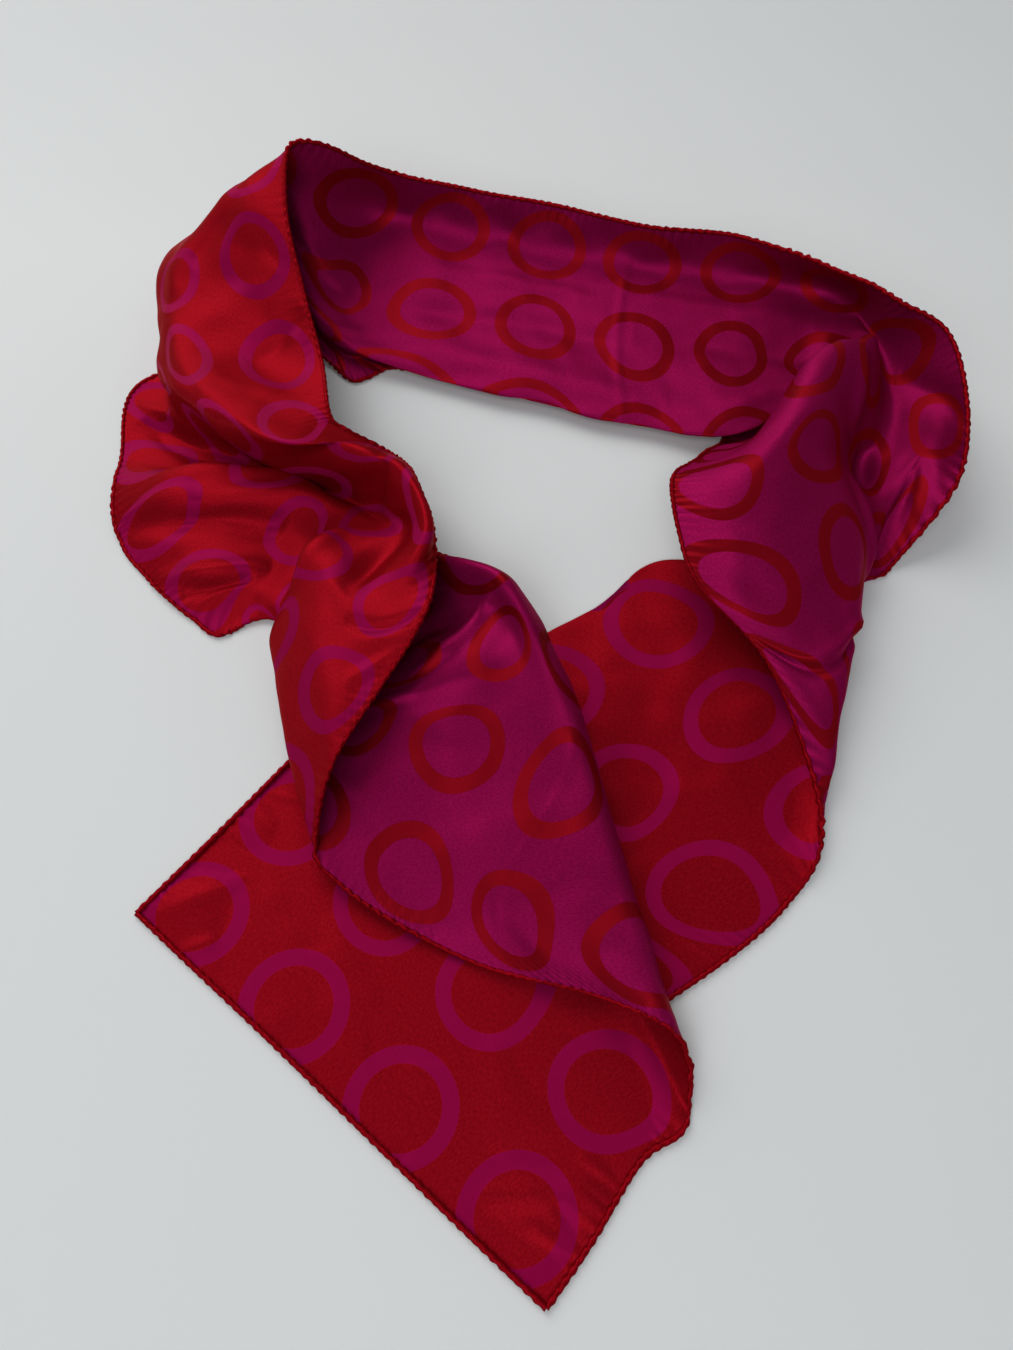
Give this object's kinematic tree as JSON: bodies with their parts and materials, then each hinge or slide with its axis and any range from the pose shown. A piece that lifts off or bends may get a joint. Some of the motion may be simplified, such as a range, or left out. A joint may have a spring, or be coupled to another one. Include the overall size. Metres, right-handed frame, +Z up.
{
  "type": "silk scarf",
  "caption": "Narrow two-faced satin scarf with a ring weave and rolled hems, dropped on a surface in a loose loop with crossing ends.",
  "frame": {"origin": "centre of the footprint's box, on the surface the scarf lies on", "axes": "+Z up, -Y towards the viewer of the picture, where the square-cut end lies, +X to the right"},
  "size_m": [0.3703, 0.4621, 0.0747],
  "materials": {
    "red_satin": "silk satin jacquard, red ground with magenta rings, anisotropic sheen",
    "magenta_satin": "silk twill reverse, magenta ground with red rings, soft sheen"
  },
  "bodies": {
    "root": {"end_panel": "red_satin", "fold_back": "magenta_satin", "column": "red_satin", "upper_left": "red_satin", "top_band": "magenta_satin", "corner": "magenta_satin", "right_fall": "magenta_satin", "tail": "red_satin"}
  },
  "joints": []
}
